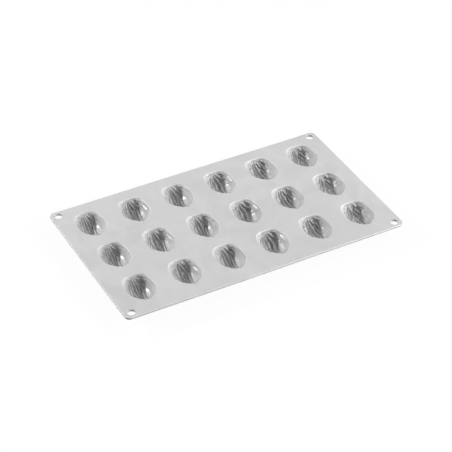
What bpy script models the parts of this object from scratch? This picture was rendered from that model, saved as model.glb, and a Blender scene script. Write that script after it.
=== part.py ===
"""Silicone cake mould: a flat sheet with eighteen cavities shaped like half walnuts.

The mould lies on its feet with the cavities open upwards. The origin is under the centre of
the sheet, on the surface that the feet stand on. +X runs along the sheet's long side, +Y across
it and +Z up. A cavity's far end, where the walnut is broad, points to +Y, and its near end,
where the walnut comes to a tip, points to -Y.
"""
import math

import bmesh
import bpy

MM = 0.001

# Sheet
SHEET_LENGTH = 300.0 * MM
SHEET_WIDTH = 175.0 * MM
SHEET_THICKNESS = 2.5 * MM
CORNER_RADIUS = 5.5 * MM
EDGE_ROUNDING = 0.6 * MM

# Hanging holes, one in each corner of the sheet
HOLE_RADIUS = 3.9 * MM
HOLE_FROM_SHORT_SIDE = 8.0 * MM
HOLE_FROM_LONG_SIDE = 7.0 * MM

# Layout of the cavities: the margins run from the sheet's sides to the outermost centres
COLUMNS = 6
ROWS = 3
COLUMN_MARGIN = 31.0 * MM
ROW_MARGIN = 34.0 * MM
ROW_SHIFT = 1.1 * MM

# Cavity, measured at its wall just under the rim
CAVITY_HALF_WIDTH = 14.0 * MM
CAVITY_HALF_LENGTH = 19.0 * MM
CAVITY_DEPTH = 14.2 * MM
COLLAR_DEPTH = 2.0 * MM
COLLAR_DRAFT = 0.35 * MM
RIM_ROUNDING = 0.6 * MM
OUTLINE_FULLNESS = 2.3
OUTLINE_FULLNESS_SWING = 0.65

# Cup, the moulded wall round a cavity
CUP_WALL = 1.6 * MM
CUP_FLOOR = 2.2 * MM
CUP_FLOOR_CUT = 1.5 * MM
FIT_GAP = 0.3 * MM

# Feet: tapered pins with rounded ends, under the sheet's short sides
FOOT_TOP_RADIUS = 2.0 * MM
FOOT_END_RADIUS = 1.5 * MM
FOOT_END_ROUNDING = 0.8 * MM

# Fineness of the meshes
LATITUDES = 10
CUP_COLUMNS = 7
HOLE_SEGMENTS = 16
CORNER_SEGMENTS = 5
FOOT_SEGMENTS = 12
FOOT_END_STEPS = 3

# The ridges of the six walnuts, one walnut for each column of cavities. A ridge runs from end to
# end of the nut at its longitude, in degrees from the left rim (0) through the bottom (90) to
# the right rim (180). "bare_end" is the latitude where the ridges start, from the far end.
WALNUTS = (
    {"ridges": (14, 31, 48, 65, 82, 99, 115, 128, 142, 158, 172),
     "height": 0.8 * MM, "sway": 3.0, "bare_end": 6.0},
    {"ridges": (15, 31, 47, 63, 78, 90, 103, 120, 132, 145, 159),
     "height": 0.9 * MM, "sway": 2.5, "bare_end": 6.0},
    {"ridges": (15, 31, 47, 63, 79, 96, 112, 125, 139, 155, 171),
     "height": 0.85 * MM, "sway": 3.5, "bare_end": 10.0},
    {"ridges": (14, 35, 56, 75, 92, 117, 141, 164),
     "height": 1.3 * MM, "sway": 4.0, "bare_end": 16.0},
    {"ridges": (16, 39, 62, 87, 106, 125, 137, 162),
     "height": 1.2 * MM, "sway": 2.0, "bare_end": 8.0},
    {"ridges": (14, 33, 52, 70, 87, 102, 117, 133, 152),
     "height": 1.1 * MM, "sway": 6.0, "bare_end": 18.0},
)

# Sizes that follow from the ones above
MOULD_HEIGHT = CAVITY_DEPTH + CUP_FLOOR
SHEET_BOTTOM = MOULD_HEIGHT - SHEET_THICKNESS
COLUMN_PITCH = (SHEET_LENGTH - 2 * COLUMN_MARGIN) / (COLUMNS - 1)
ROW_PITCH = (SHEET_WIDTH - 2 * ROW_MARGIN) / (ROWS - 1)
END_LINE = SHEET_LENGTH / 2 - HOLE_FROM_SHORT_SIDE
HOLE_LINE = SHEET_WIDTH / 2 - HOLE_FROM_LONG_SIDE


def clear_scene():
    """Remove whatever the file holds before the mould is made."""
    for thing in list(bpy.data.objects):
        bpy.data.objects.remove(thing, do_unlink=True)


def silicone(name, colour, roughness):
    """Return a grey silicone material."""
    material = bpy.data.materials.new(name)
    material.use_nodes = True
    shader = material.node_tree.nodes["Principled BSDF"]
    shader.inputs["Base Color"].default_value = (*colour, 1.0)
    shader.inputs["Roughness"].default_value = roughness
    shader.inputs["Metallic"].default_value = 0.0
    return material


def mesh_from(bm, name):
    """Turn a finished bmesh into mesh data with its faces pointing out."""
    bmesh.ops.recalc_face_normals(bm, faces=bm.faces)
    mesh = bpy.data.meshes.new(name)
    bm.to_mesh(mesh)
    bm.free()
    mesh.shade_smooth()
    mesh.set_sharp_from_angle(angle=math.radians(35))
    return mesh


def place(name, mesh, material, location):
    """Add an object that shows the mesh at a place."""
    thing = bpy.data.objects.new(name, mesh)
    bpy.context.scene.collection.objects.link(thing)
    thing.location = location
    if not mesh.materials:
        mesh.materials.append(material)
    return thing


def column_x(column):
    """Centre of a column of cavities, counted from the left."""
    return (column - (COLUMNS - 1) / 2) * COLUMN_PITCH


def row_y(row):
    """Centre of a row of cavities, counted from the far side of the sheet."""
    return ((ROWS - 1) / 2 - row) * ROW_PITCH + ROW_SHIFT


def profile(latitude):
    """Where the widest outline is at a latitude from 0 (far end) to pi (near end): how far along
    the walnut and how far across, each as a share of its half size. The outline is a
    superellipse whose exponent grows from the near end, which comes to a tip, to the far end,
    which is blunt."""
    cosine = math.cos(latitude)
    fullness = OUTLINE_FULLNESS + OUTLINE_FULLNESS_SWING * math.sin(cosine * math.pi / 2)
    along = math.copysign(abs(cosine) ** (2 / fullness), cosine)
    across = max(0.0, 1 - abs(along) ** fullness) ** (1 / fullness)
    return along, across


def outline(half_width, half_length):
    """Points of a walnut outline, going round from the far end by the right side."""
    points = []
    for step in range(2 * LATITUDES):
        side = 1 if step < LATITUDES else -1
        along, across = profile(math.pi * min(step, 2 * LATITUDES - step) / LATITUDES)
        points.append((side * half_width * across, half_length * along))
    return points


def ridge_height(walnut, number, latitude):
    """Height of one ridge at a latitude. A ridge starts where the bare end stops, swells and
    dies away before the tip, and neighbours swell at different places."""
    start = math.radians(walnut["bare_end"])
    if latitude <= start:
        return 0.0
    share = (latitude - start) / (math.pi - start)
    swell = math.sin(math.pi * share) ** 0.5
    beat = 1 + 0.25 * math.sin(4 * latitude + 2.4 * number)
    return walnut["height"] * swell * beat


def mesh_longitudes(walnut, latitude):
    """Longitudes of the mesh lines at a latitude, each with the relief on it: both rims, every
    ridge on its crest, and a line in the valley between each two. The crests sway sideways on
    their way to the tip."""
    crests = []
    for number, degrees in enumerate(walnut["ridges"]):
        sway = walnut["sway"] * math.sin(2 * latitude + 1.7 * number)
        crests.append((math.radians(degrees + sway), ridge_height(walnut, number, latitude)))
    lines = [(0.0, 0.0)]
    for number, crest in enumerate(crests):
        if number:
            lines.append(((crests[number - 1][0] + crest[0]) / 2, 0.0))
        lines.append(crest)
    lines.append((math.pi, 0.0))
    return lines


def cavity_rows(walnut):
    """Points of the cavity below its collar, one list for each latitude. A cross-section is
    half an ellipse, and the relief pulls its points towards the walnut's long axis."""
    half_width = CAVITY_HALF_WIDTH - COLLAR_DRAFT
    half_length = CAVITY_HALF_LENGTH - COLLAR_DRAFT
    depth = CAVITY_DEPTH - COLLAR_DEPTH
    rows = []
    for step in range(LATITUDES + 1):
        latitude = math.pi * step / LATITUDES
        along, across = profile(latitude)
        row = []
        for longitude, relief in mesh_longitudes(walnut, latitude):
            pull = across * (1 - relief / half_width)
            row.append((-half_width * pull * math.cos(longitude),
                        half_length * along,
                        MOULD_HEIGHT - COLLAR_DEPTH - depth * pull * math.sin(longitude)))
        rows.append(row)
    return rows


def cup_rows():
    """Points of the cup's outside below the sheet, cut flat where the cup stands."""
    half_width = CAVITY_HALF_WIDTH + CUP_WALL
    half_length = CAVITY_HALF_LENGTH + CUP_WALL
    depth = SHEET_BOTTOM + CUP_FLOOR_CUT
    rows = []
    for step in range(LATITUDES + 1):
        along, across = profile(math.pi * step / LATITUDES)
        row = []
        for column in range(CUP_COLUMNS + 1):
            longitude = math.pi * column / CUP_COLUMNS
            below = depth * across * math.sin(longitude)
            row.append((-half_width * across * math.cos(longitude),
                        half_length * along,
                        max(0.0, SHEET_BOTTOM - below)))
        rows.append(row)
    return rows


def add_patch(bm, rows):
    """Make faces over rows of points whose first and last rows are single points, and return
    the patch's border, going round from the far end by the right side."""
    grid = [[bm.verts.new(rows[0][0])]]
    for row in rows[1:-1]:
        grid.append([bm.verts.new(point) for point in row])
    grid.append([bm.verts.new(rows[-1][0])])
    for upper, lower in zip(grid, grid[1:]):
        for column in range(max(len(upper), len(lower)) - 1):
            corners = upper[column:column + 2] + lower[column:column + 2][::-1]
            if len(upper) == 1:
                corners = upper + lower[column:column + 2][::-1]
            elif len(lower) == 1:
                corners = upper[column:column + 2] + lower
            bm.faces.new(corners)
    right = [row[-1] for row in grid]
    left = [row[0] for row in grid[1:-1]]
    return right + left[::-1]


def add_ring(bm, half_width, half_length, height):
    """Add a walnut outline at a height and return its vertices in order."""
    return [bm.verts.new((x, y, height)) for x, y in outline(half_width, half_length)]


def bridge(bm, rings):
    """Join each ring of vertices to the next with faces."""
    for ring, following in zip(rings, rings[1:]):
        for index in range(len(ring)):
            after = (index + 1) % len(ring)
            bm.faces.new((ring[index], ring[after], following[after], following[index]))


def cup_mesh(number, walnut):
    """One walnut cup: the cavity with its ridges, the collar, the rim and the outside."""
    bm = bmesh.new()
    inside = add_patch(bm, cavity_rows(walnut))
    wall_top = add_ring(bm, CAVITY_HALF_WIDTH, CAVITY_HALF_LENGTH, MOULD_HEIGHT - RIM_ROUNDING)
    rim_inner = add_ring(bm, CAVITY_HALF_WIDTH + RIM_ROUNDING,
                         CAVITY_HALF_LENGTH + RIM_ROUNDING, MOULD_HEIGHT)
    rim_outer = add_ring(bm, CAVITY_HALF_WIDTH + CUP_WALL,
                         CAVITY_HALF_LENGTH + CUP_WALL, MOULD_HEIGHT)
    outside = add_patch(bm, cup_rows())
    bridge(bm, [inside, wall_top, rim_inner, rim_outer, outside])
    return mesh_from(bm, "walnut_cup_%d" % number)


def add_cups():
    """Six different walnuts, one for each column, each used in every row."""
    material = silicone("cup_silicone", (0.60, 0.61, 0.60), 0.38)
    for column in range(COLUMNS):
        number = column % len(WALNUTS)
        mesh = cup_mesh(number + 1, WALNUTS[number])
        for row in range(ROWS):
            name = "walnut_cup_r%d_c%d" % (row + 1, column + 1)
            place(name, mesh, material, (column_x(column), row_y(row), 0.0))


def rounded_plate():
    """The sheet before anything is cut from it: a block whose corners and edges are rounded."""
    bm = bmesh.new()
    bmesh.ops.create_cube(bm, size=1.0)
    bmesh.ops.scale(bm, vec=(SHEET_LENGTH, SHEET_WIDTH, SHEET_THICKNESS), verts=bm.verts)
    bmesh.ops.translate(bm, vec=(0, 0, SHEET_BOTTOM + SHEET_THICKNESS / 2), verts=bm.verts)
    upright = [edge for edge in bm.edges if abs(edge.verts[0].co.z - edge.verts[1].co.z) > MM]
    bmesh.ops.bevel(bm, geom=upright, offset=CORNER_RADIUS, segments=CORNER_SEGMENTS,
                    profile=0.5, affect="EDGES")
    level = [edge for edge in bm.edges if edge.calc_face_angle() > math.radians(80)]
    bmesh.ops.bevel(bm, geom=level, offset=EDGE_ROUNDING, segments=2,
                    profile=0.5, affect="EDGES")
    return mesh_from(bm, "sheet")


def add_prism(bm, points, low, high):
    """Add an upright prism over an outline."""
    base = bm.faces.new([bm.verts.new((x, y, low)) for x, y in points])
    lid = bmesh.ops.extrude_face_region(bm, geom=[base])["geom"]
    raised = [item for item in lid if isinstance(item, bmesh.types.BMVert)]
    bmesh.ops.translate(bm, vec=(0, 0, high - low), verts=raised)


def circle(centre_x, centre_y, radius):
    """Points of a circle."""
    turn = 2 * math.pi / HOLE_SEGMENTS
    return [(centre_x + radius * math.cos(step * turn), centre_y + radius * math.sin(step * turn))
            for step in range(HOLE_SEGMENTS)]


def sheet_cutter():
    """Everything that is cut through the sheet: a seat for each cup and the hanging holes."""
    bm = bmesh.new()
    low = SHEET_BOTTOM - SHEET_THICKNESS
    high = MOULD_HEIGHT + SHEET_THICKNESS
    seat = outline(CAVITY_HALF_WIDTH + CUP_WALL + FIT_GAP,
                   CAVITY_HALF_LENGTH + CUP_WALL + FIT_GAP)
    for column in range(COLUMNS):
        for row in range(ROWS):
            centred = [(x + column_x(column), y + row_y(row)) for x, y in seat]
            add_prism(bm, centred, low, high)
    for side in (-1, 1):
        for end in (-1, 1):
            add_prism(bm, circle(side * END_LINE, end * HOLE_LINE, HOLE_RADIUS), low, high)
    cutter = place("sheet_cutter", mesh_from(bm, "sheet_cutter"),
                   silicone("cutter", (0.8, 0.2, 0.1), 0.5), (0, 0, 0))
    cutter.hide_render = True
    cutter.display_type = "WIRE"
    return cutter


def add_sheet():
    """The flat top of the mould."""
    material = silicone("sheet_silicone", (0.62, 0.63, 0.62), 0.42)
    sheet = place("sheet", rounded_plate(), material, (0, 0, 0))
    cut = sheet.modifiers.new("seats_and_holes", "BOOLEAN")
    cut.operation = "DIFFERENCE"
    cut.solver = "EXACT"
    cut.object = sheet_cutter()


def foot_mesh():
    """A foot pin turned round its axis: a flat seat, a rounded end and a tapered side."""
    height = SHEET_BOTTOM - FIT_GAP
    seat_radius = FOOT_END_RADIUS - FOOT_END_ROUNDING
    profile = [(0.0, 0.0)]
    for step in range(FOOT_END_STEPS + 1):
        angle = math.pi / 2 * step / FOOT_END_STEPS
        profile.append((seat_radius + FOOT_END_ROUNDING * math.sin(angle),
                        FOOT_END_ROUNDING * (1 - math.cos(angle))))
    profile += [(FOOT_TOP_RADIUS, height), (0.0, height)]
    bm = bmesh.new()
    verts = [bm.verts.new((radius, 0.0, z)) for radius, z in profile]
    edges = [bm.edges.new(pair) for pair in zip(verts, verts[1:])]
    bmesh.ops.spin(bm, geom=verts + edges, axis=(0, 0, 1), cent=(0, 0, 0),
                   angle=2 * math.pi, steps=FOOT_SEGMENTS, use_merge=True)
    bmesh.ops.remove_doubles(bm, verts=bm.verts, dist=0.01 * MM)
    return mesh_from(bm, "foot_pin")


def add_feet():
    """A row of feet along each short side, level with the rows of cavities."""
    material = silicone("foot_silicone", (0.55, 0.56, 0.55), 0.45)
    mesh = foot_mesh()
    for side, word in ((-1, "left"), (1, "right")):
        for row in range(ROWS):
            name = "foot_pin_%s_%d" % (word, row + 1)
            place(name, mesh, material, (side * END_LINE, row_y(row), 0.0))


def main():
    clear_scene()
    add_sheet()
    add_cups()
    add_feet()


main()
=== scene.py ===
"""Silicone baking mould with eighteen half-walnut cavities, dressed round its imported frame.

Every piece is a surface worked out with numpy: a grid of points that is a function of two
parameters, or a profile carried round an outline. Lengths are metres, but the walnuts' relief
is worked out in millimetres and degrees.
"""
import math

import bmesh
import bpy
import numpy as np
from bpy.props import FloatProperty, FloatVectorProperty, PointerProperty
from bpy.types import Operator, Panel, PropertyGroup
from mathutils import Matrix, Vector


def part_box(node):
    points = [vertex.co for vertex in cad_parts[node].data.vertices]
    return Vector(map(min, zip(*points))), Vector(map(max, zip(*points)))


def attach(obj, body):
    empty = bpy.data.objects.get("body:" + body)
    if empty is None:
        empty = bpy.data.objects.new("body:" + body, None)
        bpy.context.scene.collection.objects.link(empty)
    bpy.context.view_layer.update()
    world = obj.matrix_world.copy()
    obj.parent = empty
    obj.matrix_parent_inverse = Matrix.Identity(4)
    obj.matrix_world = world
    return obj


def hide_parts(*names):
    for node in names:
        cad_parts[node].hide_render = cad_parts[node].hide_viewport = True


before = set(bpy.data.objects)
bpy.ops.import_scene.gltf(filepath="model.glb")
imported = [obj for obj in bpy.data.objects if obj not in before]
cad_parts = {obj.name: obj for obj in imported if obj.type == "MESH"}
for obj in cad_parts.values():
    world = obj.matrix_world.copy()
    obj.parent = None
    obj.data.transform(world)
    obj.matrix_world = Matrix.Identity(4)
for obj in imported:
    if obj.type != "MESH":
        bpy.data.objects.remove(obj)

bl_info = {
    "name": "Walnut cake mould",
    "version": (1, 0, 0),
    "blender": (4, 5, 0),
    "location": "3D View > Sidebar > Mould",
    "description": "Builds a silicone baking mould with walnut cavities and its studio",
    "category": "Add Mesh",
}

MM = 0.001
COLUMNS = 6
ROWS = 3
SIDES = ("left", "right")

# Fineness of the surfaces
LATITUDES = 128
SHEET_ACROSS = 54
SHEET_ALONG = LATITUDES - SHEET_ACROSS
LONGITUDES = 104
OUTSIDE_LONGITUDES = 36
LIP_STEPS = 7
EDGE_STEPS = 6
MARGIN_STEPS = 10
FOOT_SIDES = 40

# Rings of points between a cup or a hanging hole and its cell's border, as shares of the way
CUP_RINGS = (0.0, 0.05, 0.4, 1.0)
HOLE_RINGS = (0.0, 0.1, 0.4, 1.0)

# Points of different grids that are nearer than this are one point
MERGE_DISTANCE = 0.002 * MM
# Edges that turn by more degrees than this look sharp
SHARP_ANGLE = 60
# From the feet down to the floor
FLOOR_GAP = 0.2 * MM
SILICONE_IOR = 1.43

# The lamps: name, turn from +X towards +Y and rise from the floor in degrees, distance and size
# in metres, and the property that holds the power
LAMPS = (
    ("key_lamp", 142.0, 29.0, 1.5, 0.09, "key_power"),
    ("back_softbox", 124.0, 28.0, 1.5, 0.8, "back_power"),
    ("front_softbox", 311.0, 29.0, 1.9, 0.75, "front_power"),
    ("high_softbox", 352.0, 50.0, 1.9, 0.65, "high_power"),
    ("left_softbox", 160.0, 11.0, 1.6, 0.35, "left_power"),
    ("low_softbox", 316.0, 10.0, 1.6, 0.35, "low_power"),
)

# What the relief of every walnut shares: the millimetres along the nut in a degree of latitude,
# the degrees over which a ridge's path is smoothed, the girth in mm below which ridges shrink,
# and the number and height in mm of the wrinkles
MM_PER_LATITUDE = 0.36
PATH_SMOOTHING = 9.0
FULL_GIRTH = 9.0
WRINKLES = 40
WRINKLE_HEIGHT = 0.06

# Relief of the six walnuts, one for each column of cavities, in millimetres and degrees. A
# latitude runs from the far end (0) to the near end (180), and a longitude from the left rim (0)
# by the bottom (90) to the right rim (180). A ridge is its height, its width and its path,
# (latitude, longitude) points, and a ridge of negative height is a groove. A knob is its latitude
# and longitude, its radius along and across the nut, its height and its turn, and a knob of
# negative height is a dent. The ridge_height property scales all heights.
RIDGES = ((
    (0.65, 0.8, ((8, 14), (60, 15), (120, 13), (168, 15))),
    (0.75, 0.8, ((8, 30), (30, 35), (45, 38), (90, 34), (168, 32))),
    (-0.45, 0.5, ((14, 22), (50, 24), (80, 23), (150, 22))),
    (-0.55, 0.5, ((16, 41), (40, 45), (70, 44), (140, 41))),
    (-0.45, 0.5, ((16, 56), (40, 59), (64, 58), (110, 57))),
    (0.7, 1.0, ((7, 50), (30, 52), (70, 52), (120, 48), (168, 50))),
    (0.8, 0.9, ((9, 62), (35, 66), (60, 66), (100, 66), (166, 64))),
    (1.0, 0.9, ((7, 82), (30, 82), (45, 82), (60, 79), (75, 75), (100, 77), (168, 80))),
    (1.0, 0.8, ((6, 97), (25, 98), (43, 99), (60, 97), (72, 92), (95, 90), (168, 93))),
    (0.9, 0.9, ((6, 115), (30, 115), (55, 113), (70, 107), (88, 104), (168, 105))),
    (0.6, 0.9, ((24, 128), (45, 128), (62, 126))),
    (1.3, 1.0, ((70, 122), (76, 118), (84, 112), (92, 107), (110, 107), (130, 110))),
    (0.5, 0.7, ((90, 122), (100, 120), (168, 116))),
    (0.85, 1.0, ((8, 150), (22, 144), (38, 141), (60, 141))),
    (0.6, 1.0, ((24, 158), (57, 158), (75, 160), (100, 154), (168, 148))),
    (0.6, 1.0, ((20, 172), (50, 173), (90, 171), (168, 167))),
    (-0.3, 0.5, ((16, 89), (50, 89), (62, 86), (76, 84))),
    (-0.3, 0.7, ((60, 116), (72, 111), (88, 104))),
    (-0.25, 0.7, ((25, 107), (76, 106))),
    (-0.3, 0.8, ((12, 132), (56, 136), (76, 130))),
    (-0.45, 0.7, ((14, 71), (40, 73), (60, 71))),
), (
    (0.65, 0.8, ((8, 15), (60, 15), (168, 16))),
    (0.75, 0.8, ((8, 32), (30, 38), (55, 36), (168, 33))),
    (-0.5, 0.5, ((14, 23), (50, 27), (80, 25), (150, 24))),
    (-0.5, 0.5, ((16, 42), (40, 45), (60, 43), (140, 41))),
    (-0.45, 0.5, ((14, 55), (40, 56), (64, 55), (120, 54))),
    (0.7, 1.0, ((8, 50), (30, 52), (50, 50), (90, 47), (168, 50))),
    (0.75, 0.9, ((8, 62), (28, 62), (48, 61), (75, 61), (168, 64))),
    (0.9, 0.9, ((7, 77), (28, 75), (50, 77), (75, 75), (105, 74), (168, 78))),
    (1.0, 0.8, ((22, 84), (40, 86), (52, 86), (66, 84))),
    (1.4, 0.8, ((6, 102), (20, 102), (40, 102), (55, 101), (66, 95), (80, 91), (105, 92),
                (168, 94))),
    (0.75, 0.8, ((56, 104), (68, 107), (80, 104), (94, 99), (120, 103))),
    (1.35, 0.8, ((6, 121), (20, 121), (40, 121), (56, 119))),
    (1.3, 1.0, ((66, 128), (75, 122), (83, 117), (91, 112), (99, 109), (130, 109), (168, 108))),
    (0.5, 0.7, ((84, 126), (94, 123), (110, 121), (168, 116))),
    (0.9, 0.9, ((8, 152), (20, 146), (40, 144), (66, 144))),
    (0.6, 0.9, ((36, 160), (60, 158), (88, 157), (105, 158), (168, 153))),
    (0.6, 1.0, ((30, 173), (60, 172), (168, 168))),
    (-0.3, 0.5, ((14, 93), (45, 94), (58, 91), (72, 87))),
    (-0.45, 0.6, ((12, 111), (35, 112), (56, 112))),
    (-0.25, 0.8, ((12, 134), (50, 137), (76, 132))),
    (-0.25, 0.7, ((66, 120), (78, 112), (94, 102))),
    (-0.45, 0.7, ((24, 68), (66, 69))),
), (
    (0.65, 0.8, ((8, 15), (60, 15), (168, 15))),
    (0.75, 0.8, ((8, 30), (30, 38), (45, 40), (70, 36), (168, 32))),
    (-0.5, 0.5, ((16, 22), (50, 27), (80, 24), (150, 23))),
    (-0.5, 0.5, ((14, 43), (40, 49), (64, 46), (140, 41))),
    (0.6, 1.0, ((8, 52), (30, 58), (50, 56), (90, 47), (168, 48))),
    (0.75, 0.9, ((10, 64), (28, 67), (40, 66), (58, 60), (90, 60), (168, 62))),
    (0.9, 0.9, ((9, 78), (25, 78), (42, 80), (52, 75), (64, 70), (100, 72), (168, 76))),
    (1.2, 0.8, ((10, 96), (25, 97), (42, 96), (60, 94), (74, 89), (95, 85), (168, 88))),
    (1.3, 0.8, ((16, 112), (35, 114), (50, 114), (62, 112), (76, 106), (90, 100), (168, 100))),
    (0.7, 0.8, ((42, 125), (58, 124), (72, 120))),
    (1.2, 1.0, ((72, 119), (82, 114), (90, 109), (115, 108), (168, 110))),
    (0.6, 0.7, ((88, 125), (96, 123), (110, 121), (168, 118))),
    (1.0, 0.9, ((8, 154), (15, 148), (23, 142), (35, 140), (50, 141), (62, 141))),
    (0.6, 0.9, ((40, 156), (60, 156), (75, 155), (95, 155), (168, 148))),
    (0.6, 1.0, ((26, 172), (60, 173), (168, 168))),
    (-0.28, 0.5, ((14, 89), (45, 88), (72, 86))),
    (-0.45, 0.6, ((18, 105), (60, 105))),
    (-0.4, 0.8, ((12, 132), (45, 133), (72, 131))),
    (-0.4, 0.8, ((24, 158), (32, 150), (52, 147))),
    (-0.3, 0.7, ((74, 113), (94, 103))),
), (
    (0.8, 1.1, ((16, 14), (60, 14), (166, 16))),
    (0.9, 1.0, ((14, 34), (45, 36), (166, 35))),
    (-0.45, 0.5, ((14, 24), (50, 25), (150, 25))),
    (-0.45, 0.5, ((16, 43), (44, 47), (140, 45))),
    (1.0, 1.2, ((16, 48), (32, 52), (44, 58), (70, 56), (166, 54))),
    (1.1, 1.0, ((16, 76), (30, 76), (45, 74), (62, 72), (90, 68), (166, 72))),
    (1.45, 1.1, ((14, 90), (30, 91), (42, 94), (54, 92), (64, 89), (80, 84), (166, 86))),
    (1.5, 1.0, ((9, 118), (22, 118), (45, 119), (62, 118), (72, 114), (79, 109), (88, 104),
                (166, 104))),
    (1.5, 0.9, ((10, 150), (22, 146), (40, 145), (62, 145))),
    (0.6, 1.1, ((28, 170), (60, 165), (90, 166), (120, 164), (166, 158))),
    (0.8, 1.0, ((82, 150), (100, 148), (166, 142))),
    (-0.35, 0.8, ((14, 104), (45, 109), (60, 111), (84, 104))),
    (-0.35, 0.8, ((12, 132), (30, 133), (55, 136), (66, 137), (76, 124), (92, 106))),
    (-0.55, 0.7, ((20, 156), (48, 156))),
    (-0.5, 0.7, ((24, 65), (54, 66))),
), (
    (0.8, 1.1, ((8, 16), (60, 16), (168, 16))),
    (0.9, 1.0, ((8, 38), (45, 40), (168, 38))),
    (-0.4, 0.5, ((14, 27), (50, 28), (150, 27))),
    (-0.45, 0.5, ((16, 48), (44, 51), (140, 50))),
    (1.0, 1.2, ((10, 58), (35, 60), (60, 62), (168, 62))),
    (1.5, 1.1, ((12, 80), (34, 87), (50, 88), (62, 87), (90, 83), (168, 84))),
    (1.25, 1.3, ((6, 112), (18, 110), (32, 109), (46, 107), (60, 105), (75, 104), (88, 105),
                 (168, 104))),
    (1.2, 0.8, ((17, 132), (30, 130), (41, 128), (50, 127))),
    (0.8, 0.9, ((58, 120), (70, 120), (82, 119), (94, 122), (168, 118))),
    (0.9, 0.8, ((34, 139), (50, 139), (66, 137), (76, 136))),
    (1.0, 1.0, ((86, 124), (95, 125), (120, 126), (168, 128))),
    (0.8, 1.1, ((26, 163), (40, 161), (56, 163), (90, 160), (168, 154))),
    (0.8, 1.0, ((92, 140), (120, 140), (168, 138))),
    (-0.35, 0.6, ((10, 98), (40, 97), (60, 96), (86, 100))),
    (-0.55, 0.7, ((16, 121), (48, 121))),
    (-0.4, 0.7, ((44, 133), (60, 132), (84, 128))),
    (-0.45, 0.8, ((22, 152), (40, 152), (56, 154))),
    (-0.5, 0.7, ((62, 114), (98, 117))),
), (
    (0.7, 1.0, ((18, 14), (60, 14), (166, 16))),
    (0.8, 0.9, ((14, 34), (45, 33), (166, 34))),
    (-0.4, 0.5, ((14, 24), (50, 24), (150, 25))),
    (-0.45, 0.5, ((16, 44), (40, 42), (140, 43))),
    (0.9, 1.1, ((14, 54), (24, 56), (42, 50), (166, 52))),
    (1.0, 0.9, ((20, 64), (34, 67), (42, 68), (56, 65), (90, 64), (166, 68))),
    (1.2, 0.9, ((12, 86), (27, 87), (36, 85), (44, 81), (56, 79), (68, 76), (95, 78), (166, 82))),
    (1.25, 0.8, ((12, 107), (26, 105), (38, 104), (48, 102), (58, 98), (66, 91), (76, 86))),
    (1.05, 1.0, ((42, 116), (50, 116), (62, 117), (77, 116))),
    (1.1, 1.0, ((34, 132), (44, 132), (56, 133), (70, 132))),
    (1.1, 1.1, ((10, 164), (20, 156), (30, 151), (38, 147))),
    (0.8, 1.2, ((38, 158), (55, 159), (68, 159))),
    (0.9, 0.9, ((64, 103), (76, 101), (92, 99), (166, 100))),
    (0.85, 0.9, ((84, 122), (96, 122), (166, 118))),
    (0.8, 1.0, ((92, 143), (110, 140), (166, 138))),
    (-0.65, 0.7, ((16, 76), (42, 77))),
    (-0.35, 0.6, ((16, 96), (36, 94), (52, 88), (66, 83))),
    (-0.4, 0.6, ((46, 108), (72, 106))),
    (-0.35, 0.6, ((34, 123), (55, 124), (78, 126))),
    (-0.5, 0.9, ((16, 136), (32, 138), (42, 146), (62, 147))),
    (-0.5, 0.8, ((76, 116), (102, 113))),
))

KNOBS = ((
    (38, 100, 1.9, 1.0, 0.45, 0), (21, 146, 1.6, 1.0, 0.3, 0), (56, 157, 1.4, 1.1, 0.16, 0),
    (87, 138, 2.2, 0.6, -0.14, 0), (93, 122, 1.0, 0.8, 0.06, 0), (18, 64, 1.6, 1.2, -0.35, 0),
    (35, 52, 1.6, 1.2, -0.35, 0), (77, 151, 0.9, 0.9, -0.14, 0),
), (
    (35, 121, 2.4, 1.0, 0.5, 0), (48, 59, 1.4, 1.1, 0.45, 0), (86, 138, 1.4, 1.3, -0.2, 0),
    (81, 158, 3.0, 1.3, 0.62, 0), (66, 158, 1.6, 0.9, 0.14, 0), (89, 126, 1.0, 0.8, 0.06, 0),
    (18, 149, 1.8, 1.2, 0.3, 0), (47, 165, 1.3, 1.0, -0.45, 0), (34, 50, 1.6, 1.2, -0.35, 0),
), (
    (43, 114, 2.0, 1.0, 0.5, 0), (85, 135, 2.2, 0.6, -0.14, 0), (76, 152, 1.2, 1.0, 0.1, 8),
    (36, 55, 1.8, 1.2, -0.55, 0), (66, 66, 1.2, 1.2, -0.45, 0), (20, 144, 1.8, 1.2, 0.25, 0),
    (80, 168, 1.0, 2.6, -0.2, 12),
), (
    (73, 141, 1.4, 2.6, 0.17, 0), (87, 132, 1.0, 1.6, 0.08, 30), (87, 117, 0.9, 1.1, 0.1, 0),
    (94, 126, 1.1, 0.9, 0.11, 0), (60, 89, 1.2, 1.0, 0.45, 0), (79, 165, 3.8, 1.5, 0.9, 0),
    (46, 84, 1.5, 1.0, -0.45, 0), (25, 146, 1.6, 1.0, 0.3, 0), (82, 144, 1.4, 1.4, -0.12, 0),
), (
    (60, 147, 1.7, 1.5, 0.24, 0), (79, 142, 0.8, 1.5, 0.08, 20), (86, 140, 0.8, 1.8, 0.08, 20),
    (81, 156, 1.5, 0.8, 0.16, 0), (90, 156, 1.0, 0.8, 0.16, 0), (66, 78, 1.4, 1.2, -0.5, 0),
    (37, 59, 1.8, 1.4, 0.4, 0), (51, 156, 1.3, 1.0, -0.25, 0), (84, 134, 1.2, 1.1, -0.3, 0),
), (
    (26, 153, 2.2, 1.2, 0.55, -20), (42, 132, 1.3, 1.1, 0.5, 0), (71, 147, 1.0, 2.4, 0.17, 0),
    (76, 168, 0.8, 3.2, 0.26, 12), (84, 159, 0.8, 2.4, 0.22, 14), (91, 121, 1.1, 0.8, 0.08, 0),
    (86, 99, 0.9, 1.3, -0.5, 0), (90, 147, 0.8, 1.0, 0.12, 0), (40, 67, 1.5, 1.0, 0.35, 0),
    (98, 163, 0.8, 2.4, 0.1, 16), (84, 135, 1.2, 1.1, -0.3, 0),
))


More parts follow.
